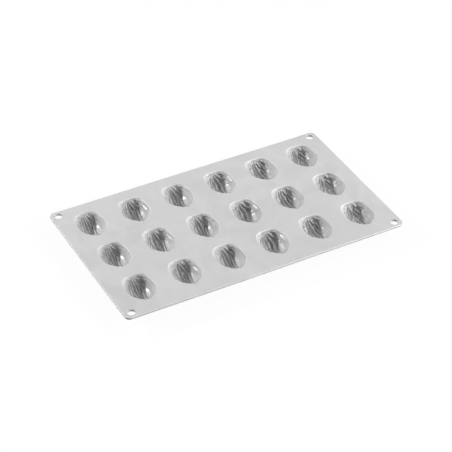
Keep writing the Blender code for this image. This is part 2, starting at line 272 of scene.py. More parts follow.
def a_length(name, millimetres, description):
    """Property of a length, with its default in millimetres."""
    return FloatProperty(name=name, description=description, default=millimetres * MM, min=0.0,
                         precision=4, subtype="DISTANCE", unit="LENGTH")


def a_share(name, share, description):
    """Property of a share from 0 to 1."""
    return FloatProperty(name=name, description=description, default=share, min=0.0, max=1.0,
                         subtype="FACTOR")


def a_colour(name, colour, description):
    """Property of a colour."""
    return FloatVectorProperty(name=name, description=description, size=3, default=colour,
                               min=0.0, max=1.0, subtype="COLOR")


def a_power(name, watts, description):
    """Property of a lamp's power."""
    return FloatProperty(name=name, description=description, default=watts, min=0.0,
                         subtype="POWER", unit="POWER")


class MouldSizes(PropertyGroup):
    """Sizes of the silicone pieces that a user would change."""

    cup_wall: a_length("Cup wall", 1.6, "From the cavity's wall to the cup's outside, at the top")
    cavity_depth: a_length("Cavity depth", 14.2, "From the sheet's top to the bottom of a cavity")
    collar_depth: a_length("Collar depth", 1.1, "Height of the plain band under a cavity's rim")
    collar_draft: a_length("Collar draft", 0.35, "How far the collar comes in on its way down")
    lip_radius: a_length("Lip radius", 0.75, "Rounding between the sheet's top and a cavity's wall")
    floor_cut: a_length("Floor cut", 1.5, "How much of a cup's round bottom its flat foot takes")
    root_fillet: a_length("Root fillet", 0.8, "Rounding between the sheet's underside and a cup")
    corner_radius: a_length(
        "Corner radius", 5.5, "Radius of the sheet's four corners, seen from above")
    edge_radius: a_length("Edge radius", 0.6, "Rounding along the sheet's outer edges")
    hole_radius: a_length("Hole radius", 3.9, "Radius of a hanging hole")
    hole_edge_radius: a_length(
        "Hole edge radius", 0.3, "Rounding along the edges of a hanging hole")
    hole_from_short_side: a_length(
        "Hole from short side", 8.0, "From the sheet's short side to a hole's middle")
    hole_from_long_side: a_length(
        "Hole from long side", 7.0, "From the sheet's long side to a hole's middle")
    ridge_height: FloatProperty(
        name="Ridge height", description="Times the heights that the walnuts' tables give",
        default=1.7, min=0.0, max=2.5)
    sheet_wave: a_length("Sheet wave", 0.15, "How far the soft sheet lifts and dips from flat")


class SiliconeFinish(PropertyGroup):
    """Colour and gloss of the silicone, and the paler grey of the painted highlight on its lips and
    top edge.
    """

    colour: a_colour("Silicone", (0.615, 0.615, 0.618), "Main grey of the silicone")
    flow_colour: a_colour(
        "Flow marks", (0.555, 0.555, 0.56), "Grey of the faint marks where the silicone flowed")
    # Painted highlight: a paler grey that stands in for the light caught by the rounded lips and
    # the sheet's top edge
    lip_highlight_colour: a_colour(
        "Lips", (0.76, 0.76, 0.762), "Paler grey along the thin rounded lips and the top edge")
    satin_roughness: a_share(
        "Satin roughness", 0.46, "Roughness of the sheet and the cups' outsides")
    polished_roughness: a_share("Polished roughness", 0.22, "Roughness inside the cavities")


class StudioLight(PropertyGroup):
    """Strengths of the studio's lamps and the colours behind the mould."""

    floor_colour: a_colour(
        "Floor", (1.0, 1.0, 1.0), "Colour of the floor and of the space behind it")
    floor_shadow: a_share("Floor shadow", 0.05, "How much of the mould's shadow the floor shows")
    floor_bounce: a_share("Floor bounce", 0.5, "Share of its light that the floor throws back")
    key_power: a_power("Key power", 11.6, "Small lamp behind the mould on the left")
    back_power: a_power("Back power", 6.2, "Softbox beside the key lamp")
    front_power: a_power("Front power", 23.0, "Softbox in front on the right")
    high_power: a_power("High power", 14.0, "Softbox high on the right")
    left_power: a_power("Left power", 3.2, "Low softbox on the left")
    low_power: a_power("Low power", 7.0, "Low softbox in front on the right")
    room_light: FloatProperty(
        name="Room light", description="Brightness of the light from all round",
        default=0.0, min=0.0, max=2.0)


def soft_step(value):
    """0 below 0 and 1 above 1, and between them 3v^2 - 2v^3."""
    value = np.clip(value, 0.0, 1.0)
    return value * value * (3.0 - 2.0 * value)


def flat_points(across, along, height):
    """Points from their three coordinates, which may be arrays or single numbers."""
    return np.stack(np.broadcast_arrays(across, along, height), axis=-1)


def latitudes():
    """Latitudes from the far end, 0, to the near end, pi. With s from 0 to 1, a latitude is
    pi * s less half a sine wave, so that the steps are finer towards both ends."""
    share = np.linspace(0.0, 1.0, LATITUDES + 1)
    return math.pi * (share - 0.5 * np.sin(2 * math.pi * share) / (2 * math.pi))


def outline_shares(latitude):
    """How far along and how far across the walnut its outline is, as shares of its half sizes.
    The outline is a superellipse: along is the cosine to the power 2 / fullness and across is
    the fullness-th root of 1 - along ^ fullness. The fullness goes from 1.65 at the near end,
    which comes to a tip, to 2.95 at the far end, which is blunt."""
    cosine = np.cos(latitude)
    middle, change = 2.3, 0.65
    fullness = middle + change * np.sin(cosine * math.pi / 2)
    along = np.sign(cosine) * np.abs(cosine) ** (2 / fullness)
    across = np.maximum(0.0, 1 - np.abs(along) ** fullness) ** (1 / fullness)
    return along, across


def walnut_ring(half_width, half_length):
    """The outline as a ring of points, from the far end by the right side and back by the
    left: x = half width * across and y = half length * along, then the same with x negative."""
    along, across = outline_shares(latitudes())
    right = np.column_stack((half_width * across, half_length * along))
    return np.concatenate((right, right[-2:0:-1] * (-1, 1)))


def outward(points, half_width, half_length):
    """Level directions that point straight out of an ellipse's side: (x / half width ^ 2,
    y / half length ^ 2) made one long."""
    slope = points[..., :2] / (half_width ** 2, half_length ** 2)
    return slope / np.maximum(np.linalg.norm(slope, axis=-1, keepdims=True), 1e-9)


def root_ring(cup, sizes):
    """Where a cup's root fillet meets the sheet's underside: the cup's outline moved straight
    out by the fillet's radius."""
    ring = walnut_ring(cup.x, cup.y)
    return ring + outward(ring, cup.x, cup.y) * sizes.root_fillet


def waved(points, sizes):
    """Lift the soft sheet's surface by two crossed sine waves. The lift is full at the top of
    the mould and fades to nothing at the floor."""
    x, y, z = points[..., 0], points[..., 1], points[..., 2]
    wave = 0.6 * np.sin(31.0 * x + 14.0 * y + 0.4) + 0.4 * np.sin(47.0 * y - 22.0 * x + 1.9)
    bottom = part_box("sheet")[0].z
    lifted = points.copy()
    lifted[..., 2] = z + sizes.sheet_wave * (wave - 1.0) * soft_step(z / bottom)
    return lifted


def mesh_from_grids(name, grids, material):
    """Make one closed mesh object of grids of points, each with its polish. Neighbours in a
    grid make a face, and points of different grids that meet are merged."""
    points, polish, faces, start = [], [], [], 0
    for grid, shine in grids:
        rows, columns = grid.shape[:2]
        index = start + np.arange(rows * columns).reshape(rows, columns)
        corners = (index[:-1, :-1], index[1:, :-1], index[1:, 1:], index[:-1, 1:])
        faces.append(np.stack(corners, axis=-1).reshape(-1, 4))
        points.append(grid.reshape(-1, 3))
        polish.append(np.broadcast_to(shine, (rows, columns)).ravel())
        start += rows * columns
    mesh = bpy.data.meshes.new(name)
    mesh.from_pydata(np.concatenate(points), [], np.concatenate(faces))
    # The polish sets the roughness, and where it is about half the material also paints a paler
    # grey, a painted highlight
    layer = mesh.attributes.new("polish", "FLOAT", "POINT")
    layer.data.foreach_set("value", np.concatenate(polish).astype(np.float32))
    bm = bmesh.new()
    bm.from_mesh(mesh)
    bmesh.ops.remove_doubles(bm, verts=bm.verts, dist=MERGE_DISTANCE)
    bmesh.ops.recalc_face_normals(bm, faces=bm.faces)
    bm.to_mesh(mesh)
    bm.free()
    mesh.shade_smooth()
    mesh.set_sharp_from_angle(angle=math.radians(SHARP_ANGLE))
    mesh.materials.append(material)
    piece = bpy.data.objects.new(name, mesh)
    bpy.context.scene.collection.objects.link(piece)
    return piece


def join_frame(piece, node):
    """Fix a piece to the mould's body in the place of its node."""
    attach(piece, "root")
    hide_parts(node)


def closed(ring):
    """A ring of points with its first point again at the end."""
    return np.concatenate((ring, ring[:1]))


def stacked(rings):
    """Grid of points from (ring, height) pairs, one row for each ring."""
    return np.stack([flat_points(*closed(ring).T, height) for ring, height in rings])


def across_mm(degrees, girth):
    """Length across the nut of an angle of longitude: the angle in radians times the girth."""
    return degrees * math.pi / 180 * girth


def smooth_wall_edge(latitude):
    """Longitude at which the smooth right wall starts: straight lines between the given points.
    The relief beyond it is flatter than on the rest of the walnut."""
    return np.interp(latitude, (20, 60, 75, 90, 180), (160, 140, 128, 108, 108))


def ridge_path(path, latitude):
    """Longitude of a ridge at each latitude: straight lines between its points, smoothed by
    averaging the path over some degrees of latitude."""
    places, longitudes = zip(*path)
    shifts = np.linspace(-PATH_SMOOTHING / 2, PATH_SMOOTHING / 2, 7)
    return np.mean([np.interp(latitude + shift, places, longitudes) for shift in shifts], axis=0)


def ridge_relief(ridge, order, latitude, longitude, girth):
    """Relief of one ridge in mm. Its crest falls off on both sides as exp(-(d / width)^2), where
    d is the distance from the path. Height and width shrink where the walnut narrows, and along
    the path the crest swells by a sine and fades out at both ends. The path lies 4 to 2 degrees
    left of the one in the table, and 3 degrees right of it on the smooth wall."""
    height, width, path = ridge
    first, last = path[0][0], path[-1][0]
    fade_in, fade_out = 6, 10
    way = ridge_path(path, latitude)
    left, right = np.interp(latitude, (30, 60), (4.0, 2.0)), 3.0
    on_smooth_wall = soft_step((way - smooth_wall_edge(latitude) + 5) / 10)
    way = way - left + (left + right) * on_smooth_wall
    distance = across_mm(longitude - way, girth)
    least_squeeze, swelling = 0.12, 0.18
    squeeze = np.clip(girth / FULL_GIRTH, least_squeeze, 1.0)
    crest = np.exp(-(distance / (width * squeeze)) ** 2)
    ends = soft_step((latitude - first + fade_in) / fade_in)
    ends = ends * soft_step((last - latitude) / fade_out)
    swell = 1 + swelling * np.sin(np.radians(9.0 * latitude) + 2.1 * order)
    return height * squeeze ** 1.3 * crest * ends * swell


def knob_relief(knob, latitude, longitude, girth):
    """Relief of one knob in mm: a bell shape, long or round, turned on the surface."""
    place, side, along_radius, across_radius, height, turn = knob
    along = (latitude - place) * MM_PER_LATITUDE
    across = across_mm(longitude - side, girth)
    cosine, sine = math.cos(math.radians(turn)), math.sin(math.radians(turn))
    first = (along * cosine - across * sine) / along_radius
    second = (along * sine + across * cosine) / across_radius
    return height * np.exp(-(first ** 2 + second ** 2))


def wrinkles(seed, latitude, longitude, girth):
    """Fine wrinkles that run along the nut, in shares of their height: the sum of sine waves,
    short across the nut and long along it, over the square root of their number."""
    draw = np.random.default_rng(seed)
    along = latitude * MM_PER_LATITUDE
    across = across_mm(longitude - 90, girth)
    total = np.zeros(np.broadcast(along, across).shape)
    for _ in range(WRINKLES):
        across_wave, along_wave = draw.uniform(1.5, 3.6), draw.uniform(5.0, 14.0)
        lean, phase = draw.choice((-1, 1)), draw.uniform(0, 2 * math.pi)
        total += np.sin(2 * math.pi * (across / across_wave + lean * along / along_wave) + phase)
    return total / math.sqrt(WRINKLES)


def walnut_relief(number, latitude, longitude, girth):
    """Relief of a walnut in mm over its smooth surface. The ridges join as the cube root of
    the sum of their cubes, wrinkles are added, and all of it is flattened on the smooth wall,
    most in the near half. Then the knobs are added, and everything fades out towards the collar
    and both ends."""
    cubes = 0.0
    for order, ridge in enumerate(RIDGES[number]):
        cubes = cubes + ridge_relief(ridge, order, latitude, longitude, girth) ** 3
    total = np.cbrt(cubes)
    total = total + WRINKLE_HEIGHT * wrinkles(number + 3, latitude, longitude, girth)
    from_collar = across_mm(np.minimum(longitude, 180 - longitude), girth)
    collar_fade, end_fade = 0.9, 1.5
    smooth = soft_step((longitude - smooth_wall_edge(latitude)) / 14)
    calm = 1.0 - np.interp(latitude, (30, 62, 80), (0.0, 0.3, 0.88)) * smooth
    total = total * calm
    for knob in KNOBS[number]:
        total = total + knob_relief(knob, latitude, longitude, girth)
    return total * soft_step(from_collar / collar_fade) * soft_step(girth / end_fade)


def surface_normals(points, towards):
    """Directions square to a grid of points, as the cross product of its two slopes, on the
    side of the given direction."""
    normal = np.cross(np.gradient(points, axis=0), np.gradient(points, axis=1))
    normal /= np.maximum(np.linalg.norm(normal, axis=-1, keepdims=True), 1e-12)
    side = np.sum(normal * towards, axis=-1, keepdims=True)
    return np.where(side < 0, -normal, normal)


def cavity_grid(number, cavity, top, sizes):
    """The walnut-shaped part of a cavity. The smooth surface at a latitude and longitude is
    x = -half width * across * cos(longitude), y = half length * along and
    z = collar's foot - depth * across * sin(longitude). The relief then moves it inwards."""
    half_width, half_length = cavity.x - sizes.collar_draft, cavity.y - sizes.collar_draft
    depth = sizes.cavity_depth - sizes.collar_depth
    latitude = latitudes()[:, None]
    longitude = np.linspace(0.0, math.pi, LONGITUDES + 1)[None, :]
    along, across = outline_shares(latitude)
    smooth = flat_points(-half_width * across * np.cos(longitude), half_length * along,
                         top - sizes.collar_depth - depth * across * np.sin(longitude))
    inwards = flat_points(-smooth[..., 0], np.zeros(1), top - smooth[..., 2])
    girth = np.broadcast_to((half_width + depth) / 2 / MM * across, smooth.shape[:2])
    relief = walnut_relief(number, np.degrees(latitude), np.degrees(longitude), girth)
    relief *= sizes.ridge_height * MM
    return smooth + surface_normals(smooth, inwards) * relief[..., None]


def rim_grid(cup, cavity, top, bottom, sizes):
    """From the collar's foot up the wall, over the rounded lip, across the flat to the seam with
    the sheet, and down inside the sheet to the root. The lip is a quarter circle: it goes out
    by radius * (1 - cos a) while it is radius * (1 - sin a) below the top."""
    def ring(out, below):
        return walnut_ring(cavity.x + out, cavity.y + out), top - below
    radius = sizes.lip_radius
    rings = [ring(-sizes.collar_draft, sizes.collar_depth)]
    for angle in np.linspace(0.0, math.pi / 2, LIP_STEPS + 1):
        rings.append(ring(radius * (1 - math.cos(angle)), radius * (1 - math.sin(angle))))
    rings.append((walnut_ring(cup.x, cup.y), top))
    rings.append((root_ring(cup, sizes), bottom))
    return stacked(rings)


def rim_polish_and_highlight():
    """Polish of the rim's rings: full at the collar's foot, a little less where the lip starts,
    and evenly less over the lip to none at its top. Where it passes about half, on the lip, the
    material paints a paler grey, a painted highlight."""
    lip_start = 0.8
    lip = np.linspace(lip_start, 0.0, LIP_STEPS + 1)
    return np.concatenate(([1.0], lip, [0.0, 0.0]))[:, None]


def cup_outside_grid(cup, bottom, sizes):
    """The outside of a cup below the sheet: half an egg whose lowest part is flattened onto the
    floor, by (z + sqrt(z^2 + k^2)) / 2 less what that adds at the root, and whose root flares
    out as a quarter circle of the fillet's radius."""
    latitude = latitudes()[:, None]
    share = np.linspace(0.0, 1.0, OUTSIDE_LONGITUDES + 1)[None, :]
    longitude = math.pi * (1 - np.cos(math.pi * share)) / 2
    along, across = outline_shares(latitude)
    x = -cup.x * across * np.cos(longitude)
    drop = (bottom + sizes.floor_cut) * across * np.sin(longitude)
    height = bottom - drop
    softness = 0.7 * MM
    rest = (math.hypot(bottom, softness) - bottom) / 2
    height = (height + np.sqrt(height ** 2 + softness ** 2)) / 2 - rest
    points = flat_points(x, cup.y * along, height)
    left = np.clip(1 - (bottom - height) / sizes.root_fillet, 0.0, 1.0)
    flare = sizes.root_fillet * (1 - np.sqrt(1 - left ** 2))
    points[..., :2] += outward(points, cup.x, cup.y) * flare[..., None]
    return points


def build_cup(row, column, material, sizes):
    """One cup: the walnut, the rim and the outside, put where its node is."""
    node = "walnut_cup_r%d_c%d" % (row + 1, column + 1)
    low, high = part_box(node)
    centre = np.array(((low.x + high.x) / 2, (low.y + high.y) / 2, 0.0))
    cup = Vector(((high.x - low.x) / 2, (high.y - low.y) / 2))
    cavity = cup - Vector((sizes.cup_wall, sizes.cup_wall))
    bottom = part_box("sheet")[0].z
    grids = (
        (cavity_grid(column % len(RIDGES), cavity, high.z, sizes), 1.0),
        (rim_grid(cup, cavity, high.z, bottom, sizes), rim_polish_and_highlight()),
        (cup_outside_grid(cup, bottom, sizes), 0.0),
    )
    placed = [(waved(grid + centre, sizes), polish) for grid, polish in grids]
    piece = mesh_from_grids("walnut_cup_skin_r%d_c%d" % (row + 1, column + 1), placed, material)
    join_frame(piece, node)


def cell_border(x_lines, y_lines):
    """Points round a cell of the sheet, from the middle of its far side by the right side, one
    where each grid line of the cell ends."""
    middle = len(x_lines) // 2
    far = np.column_stack((x_lines, np.full(len(x_lines), y_lines[-1])))
    right = np.column_stack((np.full(len(y_lines), x_lines[-1]), y_lines[::-1]))
    near = np.column_stack((x_lines[::-1], np.full(len(x_lines), y_lines[0])))
    left = np.column_stack((np.full(len(y_lines), x_lines[0]), y_lines))
    return np.concatenate((far[middle:-1], right[:-1], near[:-1], left[:-1], far[:middle]))


def round_corners(points, half, radius):
    """Round the corners of a rectangle. Within a corner's square a point is drawn towards the
    square's inner corner by the larger of its two offsets over their length, which turns the
    square's outer sides into a quarter circle."""
    core = np.array(half) - radius
    beyond = np.maximum(np.abs(points) - core, 0.0)
    length = np.linalg.norm(beyond, axis=-1, keepdims=True)
    draw = beyond.max(axis=-1, keepdims=True) / np.maximum(length, 1e-12)
    return np.sign(points) * (np.minimum(np.abs(points), core) + beyond * draw)


def spread(ring, border, shares):
    """Grid of points from a ring to a border: ring + (border - ring) * share."""
    ring, border = closed(ring), closed(border)
    return ring + (border - ring) * np.array(shares)[:, None, None]


def margin_lines(inner, outer):
    """Grid lines of a margin, finer towards the sheet's edge: inner + span * (1 - (1 - s)^2)."""
    share = np.linspace(0.0, 1.0, MARGIN_STEPS + 1)
    return inner + (outer - inner) * (1 - (1 - share) ** 2)


def sheet_lines(centres, reach, hole, edge, steps):
    """Lists of grid lines, one list for each band of cells: a margin, a band for each row or
    column of cavities, and a margin. Bands meet halfway between cavities, and a margin starts
    halfway between the outermost cavity and the hanging hole."""
    near = (centres[0] - reach - hole) / 2
    far = (centres[-1] + reach + hole) / 2
    stops = [near] + [(a + b) / 2 for a, b in zip(centres, centres[1:])] + [far]
    bands = [np.linspace(a, b, steps + 1) for a, b in zip(stops, stops[1:])]
    return [margin_lines(near, -edge)[::-1]] + bands + [margin_lines(far, edge)]


def hole_ring(x, y, radius):
    """A circle of points, from its far side by the right side."""
    angle = np.linspace(0.0, 2 * math.pi, 4 * MARGIN_STEPS, endpoint=False)
    return np.column_stack((x + radius * np.sin(angle), y + radius * np.cos(angle)))


def quarter(radius):
    """Quarter circle as (out, below) pairs, from the flat to the wall."""
    angle = np.linspace(0.0, math.pi / 2, EDGE_STEPS + 1)
    return np.column_stack((radius * np.sin(angle), radius * (1 - np.cos(angle))))


class SheetPlan:
    """Everything that the sheet's grids share: its box, its bands of grid lines and where the
    cups and the hanging holes are."""

    def __init__(self, sizes):
        self.sizes = sizes
        low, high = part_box("sheet")
        self.low, self.high = low, high
        first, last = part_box("walnut_cup_r1_c1"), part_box("walnut_cup_r%d_c%d" % (ROWS, COLUMNS))
        self.cup = Vector(((first[1].x - first[0].x) / 2, (first[1].y - first[0].y) / 2))
        self.xs = np.linspace((first[0].x + first[1].x) / 2, (last[0].x + last[1].x) / 2, COLUMNS)
        self.ys = np.linspace((last[0].y + last[1].y) / 2, (first[0].y + first[1].y) / 2, ROWS)
        self.half = (high.x - sizes.edge_radius, high.y - sizes.edge_radius)
        self.hole_x = high.x - sizes.hole_from_short_side
        self.hole_y = high.y - sizes.hole_from_long_side
        rim = sizes.hole_radius + sizes.hole_edge_radius
        fillet = sizes.root_fillet
        self.x_bands = sheet_lines(self.xs, self.cup.x + fillet, self.hole_x - rim,
                                   self.half[0], SHEET_ACROSS)
        self.y_bands = sheet_lines(self.ys, self.cup.y + fillet, self.hole_y - rim,
                                   self.half[1], SHEET_ALONG)

    def rounded(self, points):
        """Points on the sheet, drawn in at its rounded corners."""
        return round_corners(points, self.half, self.sizes.corner_radius - self.sizes.edge_radius)

    def face_grids(self, cup_ring, height):
        """The grids of the sheet's top or underside: round each cup, round each hanging hole,
        and plain ones in the rest of the margins."""
        rim = self.sizes.hole_radius + self.sizes.hole_edge_radius
        grids = []
        for column, x_lines in enumerate(self.x_bands):
            for row, y_lines in enumerate(self.y_bands):
                margin_x = column in (0, COLUMNS + 1)
                margin_y = row in (0, ROWS + 1)
                if not margin_x and not margin_y:
                    ring = cup_ring + (self.xs[column - 1], self.ys[row - 1])
                    flat = spread(ring, cell_border(x_lines, y_lines), CUP_RINGS)
                elif margin_x and margin_y:
                    ring = hole_ring(math.copysign(self.hole_x, x_lines[0]),
                                     math.copysign(self.hole_y, y_lines[0]), rim)
                    border = self.rounded(cell_border(x_lines, y_lines))
                    flat = spread(ring, border, HOLE_RINGS)
                else:
                    flat = np.stack(np.meshgrid(x_lines, y_lines), axis=-1)
                grids.append(flat_points(flat[..., 0], flat[..., 1], height))
        return grids

    def cup_seats(self, top_ring, bottom_ring):
        """Walls of the openings that the cups fill."""
        return [stacked(((top_ring + (x, y), self.high.z), (bottom_ring + (x, y), self.low.z)))
                for x in self.xs for y in self.ys]

    def hole_walls(self):
        """Walls of the hanging holes: a quarter circle, a straight part and a quarter circle."""
        radius, edge = self.sizes.hole_radius, self.sizes.hole_edge_radius
        steps = quarter(edge)
        rings = [(radius + edge - out, self.high.z - below) for out, below in steps]
        rings += [(radius + edge - out, self.low.z + below) for out, below in steps[::-1]]
        return [stacked([(hole_ring(x, y, reach), height) for reach, height in rings])
                for x in (-self.hole_x, self.hole_x) for y in (-self.hole_y, self.hole_y)]

    def outer_edge(self):
        """The sheet's outer edge: a quarter circle at the top and one at the bottom, carried
        round the outline and pointing straight out of it."""
        x_lines = np.unique(np.concatenate(self.x_bands).round(9))
        y_lines = np.unique(np.concatenate(self.y_bands).round(9))
        path = cell_border(x_lines, y_lines)
        rounded = self.rounded(path)
        core = np.array(self.half) - (self.sizes.corner_radius - self.sizes.edge_radius)
        beyond = np.sign(path) * np.maximum(np.abs(rounded) - core, 0.0)
        away = beyond / np.linalg.norm(beyond, axis=-1, keepdims=True)
        steps = quarter(self.sizes.edge_radius)
        rings = [(rounded + away * out, self.high.z - below) for out, below in steps]
        rings += [(rounded + away * out, self.low.z + below) for out, below in steps[::-1]]
        return stacked(rings)


def edge_highlight_polish():
    """Polish of the outer edge's rings: half a sine wave over the top quarter circle and none
    below it. The half polish makes the top edge a little glossier and paints it paler, a painted
    highlight along the edge."""
    # Half polish gives the palest painted highlight
    peak = 0.5
    lip = peak * np.sin(np.linspace(0.0, math.pi, EDGE_STEPS + 1))
    return np.concatenate((lip, np.zeros(EDGE_STEPS + 1)))[:, None]


def build_sheet(material, sizes):
    """The sheet: its top, its underside and the walls between them."""
    plan = SheetPlan(sizes)
    top_ring = walnut_ring(plan.cup.x, plan.cup.y)
    bottom_ring = root_ring(plan.cup, sizes)
    grids = plan.face_grids(top_ring, plan.high.z) + plan.face_grids(bottom_ring, plan.low.z)
    grids += plan.cup_seats(top_ring, bottom_ring) + plan.hole_walls()
    placed = [(waved(grid, sizes), 0.0) for grid in grids]
    placed.append((waved(plan.outer_edge(), sizes), edge_highlight_polish()))
    join_frame(mesh_from_grids("sheet_skin", placed, material), "sheet")


def foot_profile(low, high, sheet_bottom):
    """Radius and height of a foot pin from the middle of its seat to its root: a rounded end,
    a tapered side and a quarter circle that flares into the sheet."""
    top_radius = (high.x - low.x) / 2
    end_radius, rounding, flare = 0.92 * top_radius, 0.5 * MM, 0.7 * MM
    angle = np.linspace(0.0, math.pi / 2, 9)
    radius = [0.0, *(end_radius - rounding + rounding * np.sin(angle))]
    height = [0.0, *(rounding * (1 - np.cos(angle)))]
    side = np.linspace(0.0, 1.0, 8)[1:]
    radius += list(end_radius + (top_radius - end_radius) * side)
    height += list(rounding + (sheet_bottom - flare - rounding) * side)
    radius += list(top_radius + flare * (1 - np.cos(angle[1:])))
    height += list(sheet_bottom - flare + flare * np.sin(angle[1:]))
    return np.array(radius + [0.0]), low.z + np.array(height + [sheet_bottom])


def build_foot(side, number, material, sizes):
    """One foot pin: its profile turned round its axis."""
    node = "foot_pin_%s_%d" % (side, number)
    low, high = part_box(node)
    radius, height = foot_profile(low, high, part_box("sheet")[0].z)
    angle = np.linspace(0.0, 2 * math.pi, FOOT_SIDES + 1)[None, :]
    points = flat_points((low.x + high.x) / 2 + radius[:, None] * np.cos(angle),
                         (low.y + high.y) / 2 + radius[:, None] * np.sin(angle),
                         height[:, None])
    piece = mesh_from_grids("foot_pin_skin_%s_%d" % (side, number),
                            [(waved(points, sizes), 0.0)], material)
    join_frame(piece, node)


def add_node(tree, kind, inputs=(), **settings):
    """Add a shader node with its settings and the values or links of its inputs."""
    node = tree.nodes.new(kind)
    for name, value in settings.items():
        setattr(node, name, value)
    for name, value in dict(inputs).items():
        if isinstance(value, bpy.types.NodeSocket):
            tree.links.new(value, node.inputs[name])
        else:
            node.inputs[name].default_value = value
    return node


def ramp(tree, value, low, high):
    """Stretch a value between two limits to 0..1."""
    return add_node(tree, "ShaderNodeMapRange", {
        "Value": value, "From Min": low, "From Max": high}).outputs["Result"]


def combined(tree, operation, first, second):
    """Two values put together by a Math node."""
    return add_node(tree, "ShaderNodeMath", {0: first, 1: second}, operation=operation).outputs[0]


def silicone_material():
    """Grey silicone. Slow noise, bent by more noise, draws the faint swirls that silicone leaves
    as it flows through its mould tool, fine noise is its satin grain, and the cavities, marked
    by the polish attribute, are smoother than the rest. Where the polish is about half, on
    the thin lips and the top edge, polish * (1 - polish) is near its largest, 0.25, and the grey
    is paler: a painted highlight for the light that these roundings catch."""
    finish = bpy.context.scene.silicone_finish
    material = bpy.data.materials.new("grey_silicone")
    material.use_nodes = True
    tree = material.node_tree
    shader = tree.nodes["Principled BSDF"]
    place = add_node(tree, "ShaderNodeTexCoord").outputs["Object"]
    polish = add_node(tree, "ShaderNodeAttribute", attribute_name="polish").outputs["Fac"]
    bend = add_node(tree, "ShaderNodeTexNoise", {
        "Vector": place, "Scale": 9.0, "Detail": 2.0})
    bent = add_node(tree, "ShaderNodeMixRGB", {
        "Fac": 0.12, "Color1": place, "Color2": bend.outputs["Color"]}, blend_type="LINEAR_LIGHT")
    flow = add_node(tree, "ShaderNodeTexNoise", {
        "Vector": bent.outputs["Color"], "Scale": 26.0, "Detail": 3.0, "Roughness": 0.45})
    marks = ramp(tree, flow.outputs["Fac"], 0.35, 0.7)
    tone = add_node(tree, "ShaderNodeMixRGB", {
        "Fac": marks, "Color1": (*finish.colour, 1.0), "Color2": (*finish.flow_colour, 1.0)})
    # Painted highlight: where the polish is about half, on the lips and the top edge, the grey is
    # mixed towards the paler lip highlight grey
    between = combined(tree, "MULTIPLY", polish, combined(tree, "SUBTRACT", 1.0, polish))
    lips = add_node(tree, "ShaderNodeMixRGB", {
        "Fac": ramp(tree, between, 0.07, 0.25),
        "Color1": tone.outputs["Color"], "Color2": (*finish.lip_highlight_colour, 1.0)})
    tree.links.new(lips.outputs["Color"], shader.inputs["Base Color"])
    smear = add_node(tree, "ShaderNodeTexNoise", {
        "Vector": place, "Scale": 120.0, "Detail": 3.0})
    satin = add_node(tree, "ShaderNodeMapRange", {
        "Value": smear.outputs["Fac"], "To Min": finish.satin_roughness - 0.05,
        "To Max": finish.satin_roughness + 0.05}).outputs["Result"]
    rough = add_node(tree, "ShaderNodeMapRange", {
        "Value": polish, "To Min": satin, "To Max": finish.polished_roughness})
    tree.links.new(rough.outputs["Result"], shader.inputs["Roughness"])
    grain = add_node(tree, "ShaderNodeTexNoise", {
        "Vector": place, "Scale": 2600.0, "Detail": 2.0})
    bump = add_node(tree, "ShaderNodeBump", {
        "Strength": 0.12, "Distance": 0.05 * MM, "Height": grain.outputs["Fac"]})
    tree.links.new(bump.outputs["Normal"], shader.inputs["Normal"])
    shader.inputs["IOR"].default_value = SILICONE_IOR
    return material


def seen_directly(tree):
    """1 for rays that reach a surface straight from the camera, a mirror or through glass."""
    path = add_node(tree, "ShaderNodeLightPath")
    either = combined(tree, "MAXIMUM", path.outputs["Is Camera Ray"],
                      path.outputs["Is Glossy Ray"])
    return combined(tree, "MAXIMUM", either, path.outputs["Is Transmission Ray"])


def floor_material(studio):
    """White floor: what the camera sees of it is mostly plain white, and the rest is lit by
    the lamps, so that the mould's shadow stays faint. It throws only part of its light back on
    the mould, so that the underside stays darker."""
    material = bpy.data.materials.new("white_floor")
    material.use_nodes = True
    tree = material.node_tree
    shader = tree.nodes["Principled BSDF"]
    seen = seen_directly(tree)
    dimmed = [studio.floor_bounce * value for value in studio.floor_colour]
    own = add_node(tree, "ShaderNodeMixRGB", {
        "Fac": seen, "Color1": (*dimmed, 1.0), "Color2": (*studio.floor_colour, 1.0)})
    tree.links.new(own.outputs["Color"], shader.inputs["Base Color"])
    shader.inputs["Roughness"].default_value = 0.8
    shader.inputs["Specular IOR Level"].default_value = 0.0
    plain = add_node(tree, "ShaderNodeEmission", {"Color": (*studio.floor_colour, 1.0)})
    share = combined(tree, "MULTIPLY", seen, 1.0 - studio.floor_shadow)
    mix = add_node(tree, "ShaderNodeMixShader", {
        0: share, 1: shader.outputs[0], 2: plain.outputs[0]})
    tree.links.new(mix.outputs[0], tree.nodes["Material Output"].inputs["Surface"])
    return material


def build_floor(studio):
    """A wide level floor under the feet."""
    half = 3.0
    corners = np.array(((-half, -half), (half, -half), (half, half), (-half, half)))
    mesh = bpy.data.meshes.new("studio_floor")
    mesh.from_pydata(flat_points(corners[:, 0], corners[:, 1], -FLOOR_GAP), [], [(0, 1, 2, 3)])
    mesh.materials.append(floor_material(studio))
    floor = bpy.data.objects.new("studio_floor", mesh)
    bpy.context.scene.collection.objects.link(floor)


def build_world(studio):
    """The world gives the light from all round, none by default, and looks white."""
    world = bpy.data.worlds.new("studio")
    bpy.context.scene.world = world
    world.use_nodes = True
    tree = world.node_tree
    lit = tree.nodes["Background"]
    lit.inputs["Color"].default_value = (1.0, 1.0, 1.0, 1.0)
    lit.inputs["Strength"].default_value = studio.room_light
    seen = add_node(tree, "ShaderNodeBackground", {"Color": (*studio.floor_colour, 1.0)})
    mix = add_node(tree, "ShaderNodeMixShader", {
        0: seen_directly(tree), 1: lit.outputs[0], 2: seen.outputs[0]})
    tree.links.new(mix.outputs[0], tree.nodes["World Output"].inputs["Surface"])


